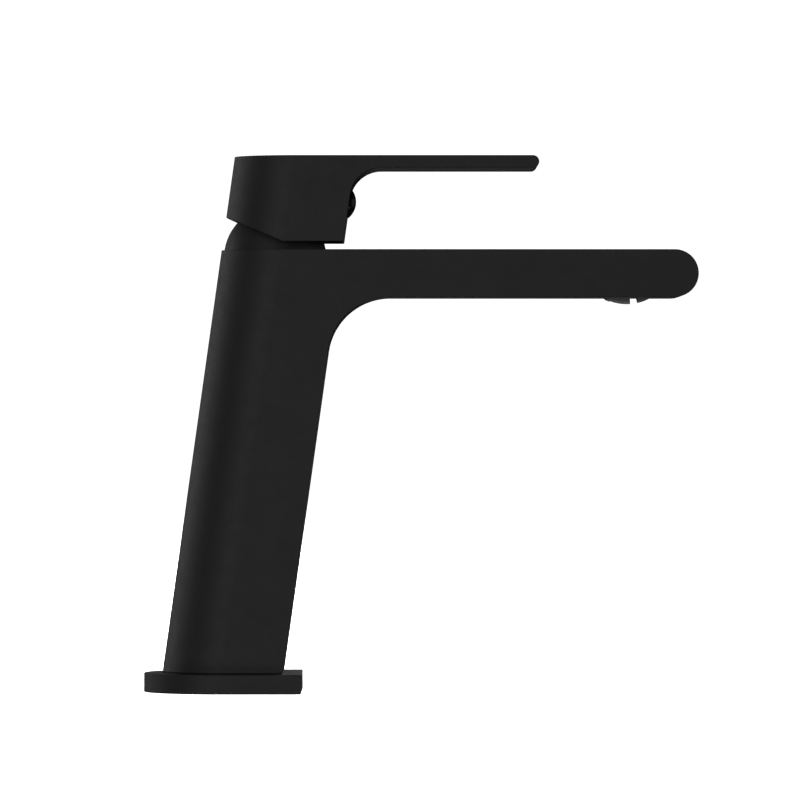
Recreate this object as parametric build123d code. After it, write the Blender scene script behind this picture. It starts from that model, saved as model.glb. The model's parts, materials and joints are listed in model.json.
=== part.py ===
from build123d import *
import math
import os

# Single-lever basin mixer. Millimetres, +Z up, +X from the body towards the spout's tip.
# The origin is the centre of the deck hole, on the deck's surface.

# Outside of the mixer.
TOTAL_HEIGHT = 165.6
WIDTH = 40.0
LEAN_DEG = 8.0
SPOUT_TIP_X = 146.7
SPOUT_TOP = 136.7
SPOUT_UNDERSIDE = 122.0
SPOUT_CORNER_R = 7.34
SPOUT_FILLET_R = 19.35
REAR_CORNER_R = 19.2

# The lever swivels and tilts about one pivot point. Leaning pieces are drawn about it:
# their own Z is the leaning axis and their own X is square to it, towards the spout.
PIVOT_X = 16.2
PIVOT_Z = 134.5
PRISM_REAR = -16.72
PRISM_FRONT = 20.41

# Foot.
FLANGE_T = 6.0
FLANGE_WIDTH = 48.0
FLANGE_FRONT_X = 24.5
FLANGE_REAR_CENTRE_X = -0.5
FLANGE_HOLE_R = 16.7
SHADOW_GAP = 0.3
SHADOW_DEPTH = 0.6
SPIGOT_R = 16.5
SPIGOT_BORE_R = 14.0
SPIGOT_BOTTOM = 0.5
FLANGE_SEAL_R = 17.35
FLANGE_SEAL_CLEARANCE = 0.03
FLANGE_GROOVE_R = 18.0
FLANGE_GROOVE_DEPTH = 1.3
GASKET_INNER_R = 17.4
GASKET_INSET = 2.2
GASKET_T = 1.6
GASKET_CLEARANCE = 0.05
INSERT_TOP = 16.0
INSERT_CLEARANCE = 0.05
INLET_PORT_X = 1.7
INLET_PORT_Y = 6.6
INLET_PORT_R = 4.5
INLET_PORT_DEPTH = 9.5
STUD_HOLE_X = -8.5
STUD_HOLE_R = 3.4
STUD_HOLE_DEPTH = 12.0
LUG_RADIUS_OUT = 11.1
LUG_ANGLES = (0.0, 120.0, 240.0)
LUG_WIDTH = 6.0
LUG_TOP = 24.0
SCREW_R = 1.5
SCREW_HEAD_R = 2.6
SCREW_HEX_R = 1.4
SCREW_HEX_DEPTH = 1.3
SCREW_CLEARANCE = 0.1
SCREW_TIP_ROOM = 0.5
SCREW_HEAD_LOW = 1.6
SCREW_HEAD_TOP = 4.0
SCREW_END = 22.0

# Casting, measured along the leaning axis from the pivot.
WALL = 3.0
CORE_TOP = -33.0
SEAT = -21.0
CARTRIDGE_BORE_R = 12.6
GALLERY_R = 14.6
GALLERY_TOP = -17.2
NUT_BORE_R = 14.05
NUT_BOTTOM = -9.0
INLET_X = 2.86
INLET_Y = 5.5
HOT_SIDE = -1
INLET_R = 2.0
SOCKET_R = 4.25
SOCKET_TOP = -26.0
TUBE_R = 4.2
TUBE_BORE_R = 3.2
TUBE_LOW = -123.9
TUBE_HIGH = -26.3
SOCKET_LOW = -124.2
SOCKET_DRILLING = 2.5
TUBE_SEAL_LEVELS = (-122.0, -30.0)
TUBE_SEAL_R = 4.61
TUBE_SEAL_SECTION_R = 0.38
TUBE_GROOVE_R = 5.0
TUBE_GROOVE_H = 0.9
OUTLET_R = 3.2
OUTLET_START = (27.6, 113.4)
OUTLET_END = (38.4, 132.2)
LOCATING_PINS = ((-8.0, 5.0), (-8.0, -5.0))
PIN_HOLE_R = 1.25
PIN_HOLE_BOTTOM = -22.8
WATERWAY_START_X = 34.0
WATERWAY_HALF_WIDTH = 14.0
WATERWAY_LOW = 129.2
WATERWAY_HIGH = 134.0

# Cartridge for a 25 mm class valve.
HOUSING_R = 12.5
HOUSING_BOTTOM = -16.9
HOUSING_SHOULDER = -1.0
HOUSING_COLLAR_R = 10.4
HOUSING_TOP = 4.0
CAVITY_R = 10.9
CAVITY_TOP = -2.6
HUB_R = 8.0
HUB_CLEARANCE = 0.08
HUB_TOP = 5.2
HUB_BOTTOM = -4.8
HUB_FLANGE_R = 10.3
HUB_FLANGE_TOP = -2.7
SLOT_HALF_LENGTH = 6.4
SLOT_HALF_WIDTH = 3.95
STOP_WINDOW_DEG = 58.0
STOP_R = (8.6, 10.2)
STOP_TOP = 5.0
STOP_TAB_HALF_WIDTH = 1.6
STOP_TAB_BOTTOM = 4.3
HOUSING_SEAL_LEVEL = -10.9
HOUSING_SEAL_R = 11.98
HOUSING_SEAL_SECTION_R = 0.58
HOUSING_GROOVE_R = 11.4
HOUSING_GROOVE_H = 1.4
DISC_R = 10.5
FIXED_DISC_BOTTOM = -16.1
FIXED_DISC_TOP = -12.6
MOVING_DISC_R = 9.0
MOVING_DISC_TOP = -9.6
CARRIER_TOP = -5.2
DISC_START_OFFSET = -1.5
RECESS_X = 1.5
RECESS_R = 4.7
RECESS_DEPTH = 1.6
DISC_INLET_RADIUS = 6.2
DISC_INLET_HALF_WIDTH = 1.1
DISC_INLET_ANGLES = (40.0, 85.0)
DISC_OUTLET_X = 0.5
DISC_OUTLET_R = 2.6
BASE_OUTLET_FLOOR = -20.0
BASE_OUTLET_ROOF = -17.8
BASE_CLEARANCE = 0.1
BASE_DISC_GAP = 0.3
LOCATING_PIN_R = 1.2
LOCATING_PIN_END = -22.5
SEAL_SECTION = 1.1
PORT_SEAL_GAP = 0.1

# Lever stem and pivot pin.
PIVOT_PIN_R = 1.5
PIVOT_PIN_CLEARANCE = 0.05
PIVOT_PIN_SHORT = 0.3
STEM_HALF_X = 3.5
STEM_HALF_Y = 3.8
STEM_LOW = -3.6
STEM_TOP = 24.0
STEM_CHAMFER = 0.6
FINGER_NECK_R = 1.4
FINGER_R = 2.0
FINGER_LEVEL = -7.0
FINGER_SLOT_HALF_X = 2.1
FINGER_SLOT_HALF_Y = 3.0
FINGER_SLOT_BOTTOM = -9.3

# Retaining nut and dome cover.
NUT_R = 14.0
NUT_BORE = 12.6
NUT_WEB_TOP = 2.5
NUT_OPENING_R = 10.5
NUT_COLLAR_R = 12.2
NUT_COLLAR_TOP = 5.0
NUT_NOTCHES = 4
NUT_NOTCH_R = 12.4
NUT_NOTCH_WIDTH = 3.0
NUT_NOTCH_FLOOR = 0.8
DOME_R = 15.87
DOME_T = 1.27
DOME_OPENING_R = 11.0
DOME_SEAL_R = 13.1
DOME_SEAL_SECTION_R = 0.85
DOME_SEAL_LEVEL = 4.0

# Lever handle.
HANDLE_BOTTOM = 139.16
HANDLE_UNDERCUT_X = 18.85
HANDLE_UNDERCUT_REAR_Z = 146.8
LEVER_TIP_X = 97.7
LEVER_T = 3.87
LEVER_TIP_R = 1.93
LEVER_FILLET_R = 9.7
HANDLE_CAVITY_R = 16.5
STEM_SOCKET_CLEARANCE = 0.05
STEM_SOCKET_TOP = 24.5
SET_SCREW_LEVEL = 19.63
SET_SCREW_R = 2.5
SET_SCREW_END = 11.5
SET_SCREW_HEX = 2.5
SET_SCREW_HEX_DEPTH = 2.5
PLUG_R = 4.4
PLUG_RIM = 0.4
PLUG_RISE = 2.13
PLUG_SHANK_R = 3.25
PLUG_HOLE_R = 3.3
PLUG_SHANK_END = 14.5
PLUG_HOLE_END = 14.0
PLUG_SPOT_FACE = 0.05

# Aerator with a tilting nozzle. The nozzle is a part of a ball about BALL_Z.
AERATOR_X = 125.2
AERATOR_R = 12.0
AERATOR_BORE_R = 12.05
AERATOR_TOP = 128.2
AERATOR_SEAT_TOP = 129.2
AERATOR_LIP_TOP = 130.4
AERATOR_CHAMBER_R = 9.8
AERATOR_INNER_R = 11.0
AERATOR_MOUTH_R = 7.25
BALL_Z = 135.0
BALL_R = 15.0
BALL_RING_R = 15.27
BALL_SEAT_R = 15.35
BALL_INNER_R = 13.2
NOZZLE_EDGE_R = 8.9
NOZZLE_RING_INNER_R = 7.4
NOZZLE_TILT_DEG = 8.2
COIN_SLOT_W = 2.3
COIN_SLOT_DEPTH = 1.95
COIN_RIB_HALF_WIDTH = 2.6
COIN_RIB_R = 5.4
COIN_RIB_LEVEL = 11.7
NOZZLE_JET_R = 0.55
NOZZLE_JET_RINGS = ((3.1, 8), (4.7, 14), (6.3, 20))
RING_TUBE_R = 8.2
RING_TUBE_BORE_R = 6.6
RING_TUBE_BOTTOM = 125.6
RING_FLANGE_R = 10.95
RING_FLANGE_BOTTOM = 127.4
NOZZLE_SEAL_R = 7.6
NOZZLE_SEAL_SECTION_R = 0.55
NOZZLE_SEAL_Z = 125.03
SCREEN_R = 6.55
SCREEN_T = 0.3
SCREEN_LEVELS = (126.3, 126.9)
SCREEN_HOLE_PITCH = 1.7
SCREEN_HOLE_R = 0.55
SCREEN_RIM = 1.2
REGULATOR_FLANGE_R = 8.9
REGULATOR_BOTTOM = 127.5
REGULATOR_SHOULDER = 129.6
REGULATOR_TOP = 130.2
REGULATOR_BOSS_R = 3.0
REGULATOR_HOLES = 8
REGULATOR_HOLE_R = 0.9
REGULATOR_HOLE_RADIUS_OUT = 4.8

LEAN_SIN = math.sin(math.radians(LEAN_DEG))
LEAN_COS = math.cos(math.radians(LEAN_DEG))
LEAN_TAN = math.tan(math.radians(LEAN_DEG))
LEANING = Plane(
    origin=(PIVOT_X, 0, PIVOT_Z),
    x_dir=(LEAN_COS, 0, -LEAN_SIN),
    z_dir=(LEAN_SIN, 0, LEAN_COS),
).location
STANDING = (Align.CENTER, Align.CENTER, Align.MIN)
FAR = 200.0
PAST = 1.0


# ---- Shared helpers ----

def rod(radius, low, high, x=0.0, y=0.0):
    """A cylinder standing along Z between two levels."""
    return Pos(x, y, low) * Cylinder(radius, high - low, align=STANDING)


def ring(outer, inner, low, high, x=0.0, y=0.0):
    """A flat-sided ring standing along Z between two levels."""
    return rod(outer, low, high, x, y) - rod(inner, low - PAST, high + PAST, x, y)


def block(x_range, y_range, z_range):
    """A box between stated limits."""
    size = [high - low for low, high in (x_range, y_range, z_range)]
    return Pos(x_range[0], y_range[0], z_range[0]) * Box(*size, align=(Align.MIN,) * 3)


def slab(low, high):
    """Everything between two heights above the deck."""
    return block((-FAR, FAR), (-FAR, FAR), (low, high))


def forward_rod(radius, start, end, level):
    """A cylinder along +X, in the frame of the leaning pieces."""
    return Pos(start, 0, level) * Rot(0, 90, 0) * Cylinder(radius, end - start, align=STANDING)


def o_ring(radius, section_radius, level, x=0.0, y=0.0):
    """An O-ring lying square to Z."""
    return Pos(x, y, level) * Torus(radius, section_radius)


def leaning_x(across, height):
    """World X of a point square to the leaning axis by across, at a height above the deck."""
    return PIVOT_X + across / LEAN_COS + (height - PIVOT_Z) * LEAN_TAN


def plan_section(front, inset=0.0):
    """Section square to the leaning axis: flat front and sides, and a round back."""
    rear = PRISM_REAR + inset
    outline = Rectangle(front - rear, WIDTH - 2 * inset)
    back_corners = outline.vertices().sort_by(Axis.X)[:2]
    return Pos((front + rear) / 2, 0, 0) * fillet(back_corners, REAR_CORNER_R - inset)


def leaning_prism(front, inset, low, high):
    """The plan section carried along the leaning axis."""
    return LEANING * Pos(0, 0, low) * extrude(plan_section(front, inset), high - low)


def side_profile(points, rounding):
    """A side outline in X and Z, as wide as the mixer, with some corners rounded."""
    face = make_face(Polyline(*[(x, z) for x, z in points], close=True))
    for corner, radius in rounding:
        vertex = min(face.vertices(), key=lambda v: math.dist((v.X, v.Y), corner))
        face = fillet(vertex, radius)
    return extrude(Plane.XZ * face, WIDTH / 2, both=True)


def one_solid(shape):
    """The single solid of a finished piece."""
    solids = shape.solids()
    assert len(solids) == 1, f"expected one solid, not {len(solids)}"
    return solids[0]


def write(name, shape):
    """Write one sub-part to its own file."""
    export_step(shape, f"parts/{name}.step")


# ---- Body ----

def body_outside():
    """The leaning column and the spout, with the foot's shadow gap."""
    foot = FLANGE_T + SHADOW_GAP
    front = (leaning_x(PRISM_FRONT, SPOUT_UNDERSIDE), SPOUT_UNDERSIDE)
    tip_low = (SPOUT_TIP_X, SPOUT_UNDERSIDE)
    tip_high = (SPOUT_TIP_X, SPOUT_TOP)
    points = (
        (leaning_x(PRISM_REAR, foot), foot),
        (leaning_x(PRISM_FRONT, foot), foot),
        front,
        tip_low,
        tip_high,
        (leaning_x(PRISM_REAR, SPOUT_TOP), SPOUT_TOP),
    )
    rounding = ((tip_low, SPOUT_CORNER_R), (tip_high, SPOUT_CORNER_R), (front, SPOUT_FILLET_R))
    column = side_profile(points, rounding) & leaning_prism(FAR, 0.0, -FAR, FAR)
    pad = leaning_prism(PRISM_FRONT - SHADOW_DEPTH, SHADOW_DEPTH, -FAR, FAR) & slab(FLANGE_T, foot + PAST)
    return column + pad + rod(SPIGOT_R, SPIGOT_BOTTOM, FLANGE_T + PAST)


def body_core():
    """The hollow left by the casting core, less the three screw lugs."""
    core = leaning_prism(PRISM_FRONT - WALL, WALL, -FAR, CORE_TOP) & slab(INSERT_TOP, FAR)
    for angle in LUG_ANGLES:
        half = LUG_WIDTH / 2
        lug = block((LUG_RADIUS_OUT - half, FAR), (-half, half), (INSERT_TOP, LUG_TOP))
        screw_hole = rod(SCREW_R, INSERT_TOP, SCREW_END + SCREW_TIP_ROOM, LUG_RADIUS_OUT)
        core -= Rot(0, 0, angle) * (lug - screw_hole)
    return core


def cartridge_bores():
    """Everything bored along the leaning axis in the head of the casting."""
    bores = rod(CARTRIDGE_BORE_R, SEAT, NUT_BOTTOM)
    bores += rod(GALLERY_R, SEAT, GALLERY_TOP)
    bores += rod(NUT_BORE_R, NUT_BOTTOM, NUT_BOTTOM + 2 * DOME_R)
    for side in (-1, 1):
        y = side * INLET_Y
        bores += rod(INLET_R, SOCKET_TOP - PAST, SEAT + PAST, INLET_X, y)
        bores += rod(SOCKET_R, CORE_TOP - PAST, SOCKET_TOP, INLET_X, y)
        groove = TUBE_SEAL_LEVELS[1]
        bores += rod(TUBE_GROOVE_R, groove - TUBE_GROOVE_H / 2, groove + TUBE_GROOVE_H / 2, INLET_X, y)
    for x, y in LOCATING_PINS:
        bores += rod(PIN_HOLE_R, PIN_HOLE_BOTTOM, SEAT + PAST, x, y)
    return LEANING * bores


def outlet_passage():
    """The sloping drilling from the gallery round the cartridge up to the spout."""
    start = Vector(OUTLET_START[0], 0, OUTLET_START[1])
    end = Vector(OUTLET_END[0], 0, OUTLET_END[1])
    along = Plane(origin=start, x_dir=(0, 1, 0), z_dir=end - start)
    return along.location * Cylinder(OUTLET_R, (end - start).length, align=STANDING)


def spout_waterway():
    """The flat passage along the spout, with the lip that the aerator's gasket seals on."""
    y_range = (-WATERWAY_HALF_WIDTH, WATERWAY_HALF_WIDTH)
    passage = block((WATERWAY_START_X, AERATOR_X), y_range, (WATERWAY_LOW, WATERWAY_HIGH))
    lip = ring(2 * AERATOR_BORE_R, AERATOR_CHAMBER_R, WATERWAY_LOW - PAST, AERATOR_LIP_TOP, AERATOR_X)
    passage -= lip & block((AERATOR_X - AERATOR_BORE_R - WALL, FAR), (-FAR, FAR), (0, FAR))
    passage += rod(AERATOR_CHAMBER_R, AERATOR_SEAT_TOP - PAST, WATERWAY_HIGH, AERATOR_X)
    passage += rod(AERATOR_BORE_R, SPOUT_UNDERSIDE - PAST, AERATOR_SEAT_TOP, AERATOR_X)
    return passage


def body_casting():
    """Hollow brass casting: column, spout and foot spigot in one piece."""
    casting = body_outside() - body_core() - cartridge_bores()
    casting -= rod(SPIGOT_BORE_R, SPIGOT_BOTTOM - PAST, INSERT_TOP)
    casting -= outlet_passage()
    casting -= spout_waterway()
    return one_solid(casting)


# ---- Foot ----

def flange_plan(inset):
    """Plan of the foot flange: a half round back and a square front."""
    half_width = FLANGE_WIDTH / 2 - inset
    length = FLANGE_FRONT_X - inset - FLANGE_REAR_CENTRE_X
    square = Pos(FLANGE_REAR_CENTRE_X + length / 2, 0, 0) * Rectangle(length, 2 * half_width)
    return square + Pos(FLANGE_REAR_CENTRE_X, 0, 0) * Circle(half_width)


def base_flange():
    """Foot flange with a seal groove above and a gasket recess below."""
    flange = extrude(flange_plan(0.0), FLANGE_T)
    flange -= rod(FLANGE_HOLE_R, -PAST, FLANGE_T + PAST)
    flange -= rod(FLANGE_GROOVE_R, FLANGE_T - FLANGE_GROOVE_DEPTH, FLANGE_T + PAST)
    flange -= gasket_shape(GASKET_CLEARANCE)
    return one_solid(flange)


def gasket_shape(growth=0.0):
    """The gasket's shape, or with growth, the recess that it lies in."""
    plate = extrude(flange_plan(GASKET_INSET - growth), GASKET_T)
    return plate - rod(GASKET_INNER_R - growth, -PAST, GASKET_T + PAST)


def deck_gasket():
    """Flat rubber gasket, flush with the flange's underside."""
    return one_solid(gasket_shape())


def flange_o_ring():
    """Seal between the casting's foot and the flange."""
    section_radius = FLANGE_SEAL_R - FLANGE_HOLE_R - FLANGE_SEAL_CLEARANCE
    return o_ring(FLANGE_SEAL_R, section_radius, FLANGE_T - FLANGE_GROOVE_DEPTH / 2)


def tube_sockets():
    """The two leaning sockets that the inlet tubes stand in, with seal grooves and drilled floors."""
    sockets = None
    for side in (-1, 1):
        y = side * INLET_Y
        groove = TUBE_SEAL_LEVELS[0]
        socket = rod(SOCKET_R, SOCKET_LOW, SOCKET_LOW + 2 * INSERT_TOP, INLET_X, y)
        socket += rod(TUBE_GROOVE_R, groove - TUBE_GROOVE_H / 2, groove + TUBE_GROOVE_H / 2, INLET_X, y)
        socket += rod(TUBE_BORE_R, SOCKET_LOW - SOCKET_DRILLING, SOCKET_LOW + PAST, INLET_X, y)
        sockets = socket if sockets is None else sockets + socket
    return LEANING * sockets


def base_insert():
    """Brass foot plug with both inlet ports and the fixing stud's hole."""
    plug = rod(SPIGOT_BORE_R - INSERT_CLEARANCE, SPIGOT_BOTTOM, INSERT_TOP)
    plug -= tube_sockets()
    for side in (-1, 1):
        y = side * INLET_PORT_Y
        plug -= rod(INLET_PORT_R, SPIGOT_BOTTOM - PAST, SPIGOT_BOTTOM + INLET_PORT_DEPTH, INLET_PORT_X, y)
    plug -= rod(STUD_HOLE_R, SPIGOT_BOTTOM - PAST, SPIGOT_BOTTOM + STUD_HOLE_DEPTH, STUD_HOLE_X)
    for angle in LUG_ANGLES:
        hole = rod(SCREW_R + SCREW_CLEARANCE, 0, INSERT_TOP + PAST, LUG_RADIUS_OUT)
        hole += rod(SCREW_HEAD_R + SCREW_CLEARANCE, 0, SCREW_HEAD_TOP, LUG_RADIUS_OUT)
        plug -= Rot(0, 0, angle) * hole
    return one_solid(plug)


def base_insert_screws():
    """Three socket-head screws that hold the foot plug to the casting's lugs."""
    screw = rod(SCREW_R, SCREW_HEAD_TOP, SCREW_END, LUG_RADIUS_OUT)
    screw += rod(SCREW_HEAD_R, SCREW_HEAD_LOW, SCREW_HEAD_TOP, LUG_RADIUS_OUT)
    hexagon = Pos(LUG_RADIUS_OUT, 0, SCREW_HEAD_LOW - PAST) * RegularPolygon(SCREW_HEX_R, 6)
    screw -= extrude(hexagon, PAST + SCREW_HEX_DEPTH)
    return Compound(children=[Rot(0, 0, angle) * one_solid(screw) for angle in LUG_ANGLES])


def inlet_tube(side):
    """One leaning brass tube from the foot plug up to the cartridge seat."""
    return LEANING * one_solid(ring(TUBE_R, TUBE_BORE_R, TUBE_LOW, TUBE_HIGH, INLET_X, side * INLET_Y))


def inlet_tube_o_rings():
    """Four O-rings: one at each end of both tubes."""
    rings = [
        LEANING * o_ring(TUBE_SEAL_R, TUBE_SEAL_SECTION_R, level, INLET_X, side * INLET_Y)
        for side in (-1, 1)
        for level in TUBE_SEAL_LEVELS
    ]
    return Compound(children=rings)


# ---- Cartridge ----

def cartridge_housing():
    """Plastic housing with the collar that the rotor turns in and its swivel stop."""
    housing = rod(HOUSING_R, HOUSING_BOTTOM, HOUSING_SHOULDER)
    housing += rod(HOUSING_COLLAR_R, HOUSING_SHOULDER - PAST, HOUSING_TOP)
    housing += swivel_stop()
    housing -= rod(CAVITY_R, HOUSING_BOTTOM - PAST, CAVITY_TOP)
    housing -= rod(HUB_R + HUB_CLEARANCE, CAVITY_TOP - PAST, STOP_TOP + PAST)
    low, high = HOUSING_SEAL_LEVEL - HOUSING_GROOVE_H / 2, HOUSING_SEAL_LEVEL + HOUSING_GROOVE_H / 2
    housing -= ring(HOUSING_R + PAST, HOUSING_GROOVE_R, low, high)
    return LEANING * one_solid(housing)


def swivel_stop():
    """Raised arc on the collar. Its open window lets the rotor's tab swing."""
    reach = 3 * HOUSING_R
    edge = (reach * math.cos(math.radians(STOP_WINDOW_DEG)), reach * math.sin(math.radians(STOP_WINDOW_DEG)))
    window = make_face(Polyline((0, 0), (edge[0], -edge[1]), edge, close=True))
    arc = ring(STOP_R[1], STOP_R[0], HOUSING_TOP - PAST / 2, STOP_TOP)
    return arc - Pos(0, 0, HOUSING_TOP) * extrude(window, 2 * PAST + STOP_TOP - HOUSING_TOP)


def housing_o_ring():
    """Seal above the outlet gallery."""
    return LEANING * o_ring(HOUSING_SEAL_R, HOUSING_SEAL_SECTION_R, HOUSING_SEAL_LEVEL)


def port_positions():
    """Centre and radius of each port through the cartridge's base."""
    return ((INLET_X, INLET_Y, INLET_R), (INLET_X, -INLET_Y, INLET_R), (DISC_OUTLET_X, 0.0, DISC_OUTLET_R))


def port_seal(x, y, radius, low, high):
    """A flat ring seal round one port."""
    inner = radius + PORT_SEAL_GAP
    return ring(inner + SEAL_SECTION, inner, low, high, x, y)


def cartridge_base():
    """Bottom of the cartridge: two inlets, and an outlet that opens at the rear."""
    base = rod(HOUSING_R, SEAT, HOUSING_BOTTOM)
    base += rod(CAVITY_R - BASE_CLEARANCE, HOUSING_BOTTOM - PAST, FIXED_DISC_BOTTOM - BASE_DISC_GAP)
    for x, y in LOCATING_PINS:
        base += rod(LOCATING_PIN_R, LOCATING_PIN_END, SEAT + PAST, x, y)
    for x, y, radius in port_positions()[:2]:
        base -= rod(radius, SEAT - PAST, FIXED_DISC_BOTTOM, x, y)
        base -= port_seal(x, y, radius, SEAT - PAST, SEAT + SEAL_SECTION)
    base -= rod(DISC_OUTLET_R, BASE_OUTLET_FLOOR, FIXED_DISC_BOTTOM, DISC_OUTLET_X)
    base -= block(
        (-HOUSING_R - PAST, DISC_OUTLET_X),
        (-DISC_OUTLET_R, DISC_OUTLET_R),
        (BASE_OUTLET_FLOOR, BASE_OUTLET_ROOF),
    )
    for x, y, radius in port_positions():
        base -= port_seal(x, y, radius, FIXED_DISC_BOTTOM - SEAL_SECTION, FIXED_DISC_BOTTOM)
    return LEANING * one_solid(base)


def cartridge_base_seals():
    """Two ring seals between the cartridge and its seat in the casting."""
    seals = [port_seal(x, y, radius, SEAT, SEAT + SEAL_SECTION) for x, y, radius in port_positions()[:2]]
    return Compound(children=[LEANING * one_solid(seal) for seal in seals])


def disc_seals():
    """Three ring seals under the fixed disc."""
    low = FIXED_DISC_BOTTOM - SEAL_SECTION
    seals = [port_seal(x, y, radius, low, FIXED_DISC_BOTTOM) for x, y, radius in port_positions()]
    return Compound(children=[LEANING * one_solid(seal) for seal in seals])


def fixed_disc():
    """Ceramic disc with two curved inlet slots and a central outlet."""
    disc = rod(DISC_R, FIXED_DISC_BOTTOM, FIXED_DISC_TOP)
    start, end = DISC_INLET_ANGLES
    middle_line = CenterArc((0, 0), DISC_INLET_RADIUS, start, end - start)
    slot = SlotArc(middle_line, 2 * DISC_INLET_HALF_WIDTH)
    for flip in (Rot(0, 0, 0), Rot(180, 0, 0)):
        cutter = extrude(slot, FAR / 2, both=True)
        disc -= flip * cutter
    disc -= rod(DISC_OUTLET_R, FIXED_DISC_BOTTOM - PAST, FIXED_DISC_TOP + PAST, DISC_OUTLET_X)
    return LEANING * one_solid(disc)


def moving_disc():
    """Ceramic disc with the mixing recess, shown closed."""
    disc = rod(MOVING_DISC_R, FIXED_DISC_TOP, MOVING_DISC_TOP)
    disc -= rod(RECESS_R, FIXED_DISC_TOP - PAST, FIXED_DISC_TOP + RECESS_DEPTH, RECESS_X)
    return LEANING * Pos(DISC_START_OFFSET, 0, 0) * one_solid(disc)


def disc_carrier():
    """Plastic carrier on the moving disc, pushed by the stem's finger."""
    carrier = Pos(DISC_START_OFFSET, 0, 0) * rod(MOVING_DISC_R, MOVING_DISC_TOP, CARRIER_TOP)
    carrier -= block(
        (-FINGER_SLOT_HALF_X, FINGER_SLOT_HALF_X),
        (-FINGER_SLOT_HALF_Y, FINGER_SLOT_HALF_Y),
        (FINGER_SLOT_BOTTOM, CARRIER_TOP + PAST),
    )
    return LEANING * one_solid(carrier)


def stem_rotor():
    """Rotor that carries the stem's pivot pin and turns in the housing's collar."""
    rotor = rod(HUB_R, HUB_BOTTOM, HUB_TOP)
    rotor += rod(HUB_FLANGE_R, HUB_BOTTOM, HUB_FLANGE_TOP)
    rotor += block(
        (HUB_R - PAST, STOP_R[1]), (-STOP_TAB_HALF_WIDTH, STOP_TAB_HALF_WIDTH), (STOP_TAB_BOTTOM, HUB_TOP)
    )
    rotor -= block(
        (-SLOT_HALF_LENGTH, SLOT_HALF_LENGTH),
        (-SLOT_HALF_WIDTH, SLOT_HALF_WIDTH),
        (HUB_BOTTOM - PAST, HUB_TOP + PAST),
    )
    rotor -= Rot(90, 0, 0) * Cylinder(PIVOT_PIN_R, 4 * HUB_R)
    return LEANING * one_solid(rotor)


def stem_pin():
    """Steel pin that the lever tilts on, held in the rotor."""
    half_length = HUB_R - PIVOT_PIN_SHORT
    return LEANING * one_solid(Rot(90, 0, 0) * Cylinder(PIVOT_PIN_R, 2 * half_length))


def lever_stem():
    """Square steel stem with its finger below the pivot."""
    stem = block((-STEM_HALF_X, STEM_HALF_X), (-STEM_HALF_Y, STEM_HALF_Y), (STEM_LOW, STEM_TOP))
    stem = chamfer(stem.faces().sort_by(Axis.Z)[-1].edges(), STEM_CHAMFER)
    stem += rod(FINGER_NECK_R, FINGER_LEVEL, STEM_LOW + PAST)
    stem += Pos(0, 0, FINGER_LEVEL) * Sphere(FINGER_R)
    stem -= Rot(90, 0, 0) * Cylinder(PIVOT_PIN_R + PIVOT_PIN_CLEARANCE, 4 * HUB_R)
    return LEANING * one_solid(stem)


def cartridge_nut():
    """Brass nut that clamps the cartridge, with spanner notches."""
    nut = rod(NUT_R, NUT_BOTTOM, NUT_WEB_TOP)
    nut += rod(NUT_COLLAR_R, NUT_WEB_TOP - PAST, NUT_COLLAR_TOP)
    nut -= rod(NUT_BORE, NUT_BOTTOM - PAST, HOUSING_SHOULDER)
    nut -= rod(NUT_OPENING_R, HOUSING_SHOULDER - PAST, NUT_COLLAR_TOP + PAST)
    half = NUT_NOTCH_WIDTH / 2
    notch = block((NUT_NOTCH_R, NUT_R + PAST), (-half, half), (NUT_NOTCH_FLOOR, NUT_WEB_TOP + PAST))
    for index in range(NUT_NOTCHES):
        nut -= Rot(0, 0, 45 + index * 360 / NUT_NOTCHES) * notch
    return LEANING * one_solid(nut)


def dome_cover():
    """Ball-shaped cover over the nut, cut level with the top of the casting."""
    shell = Sphere(DOME_R) - Sphere(DOME_R - DOME_T) - rod(DOME_OPENING_R, 0, 2 * DOME_R)
    return one_solid((LEANING * shell) & slab(SPOUT_TOP, FAR))


def dome_o_ring():
    """Ring that grips the dome cover on the nut."""
    return LEANING * o_ring(DOME_SEAL_R, DOME_SEAL_SECTION_R, DOME_SEAL_LEVEL)


# ---- Lever handle ----

def handle_outside():
    """The head that carries the body's lean up into the flat lever."""
    lever_low = TOTAL_HEIGHT - LEVER_T
    inner_corner = (leaning_x(PRISM_FRONT, lever_low), lever_low)
    tip_low = (LEVER_TIP_X, lever_low)
    tip_high = (LEVER_TIP_X, TOTAL_HEIGHT)
    points = (
        (HANDLE_UNDERCUT_X, HANDLE_BOTTOM),
        (leaning_x(PRISM_FRONT, HANDLE_BOTTOM), HANDLE_BOTTOM),
        inner_corner,
        tip_low,
        tip_high,
        (leaning_x(PRISM_REAR, TOTAL_HEIGHT), TOTAL_HEIGHT),
        (leaning_x(PRISM_REAR, HANDLE_UNDERCUT_REAR_Z), HANDLE_UNDERCUT_REAR_Z),
    )
    rounding = ((tip_low, LEVER_TIP_R), (tip_high, LEVER_TIP_R), (inner_corner, LEVER_FILLET_R))
    return side_profile(points, rounding) & leaning_prism(FAR, 0.0, -FAR, FAR)


def handle():
    """Cast handle, hollowed round the dome cover, with the stem's square socket."""
    half_x = STEM_HALF_X + STEM_SOCKET_CLEARANCE
    half_y = STEM_HALF_Y + STEM_SOCKET_CLEARANCE
    hollow = Sphere(HANDLE_CAVITY_R)
    hollow += block((-half_x, half_x), (-half_y, half_y), (0, STEM_SOCKET_TOP))
    hollow += forward_rod(SET_SCREW_R, 0, PLUG_HOLE_END + PAST, SET_SCREW_LEVEL)
    hollow += forward_rod(PLUG_HOLE_R, PLUG_HOLE_END, 2 * PRISM_FRONT, SET_SCREW_LEVEL)
    hollow += forward_rod(PLUG_R + PLUG_SPOT_FACE, PRISM_FRONT, 2 * PRISM_FRONT, SET_SCREW_LEVEL)
    return one_solid(handle_outside() - LEANING * hollow)


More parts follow.
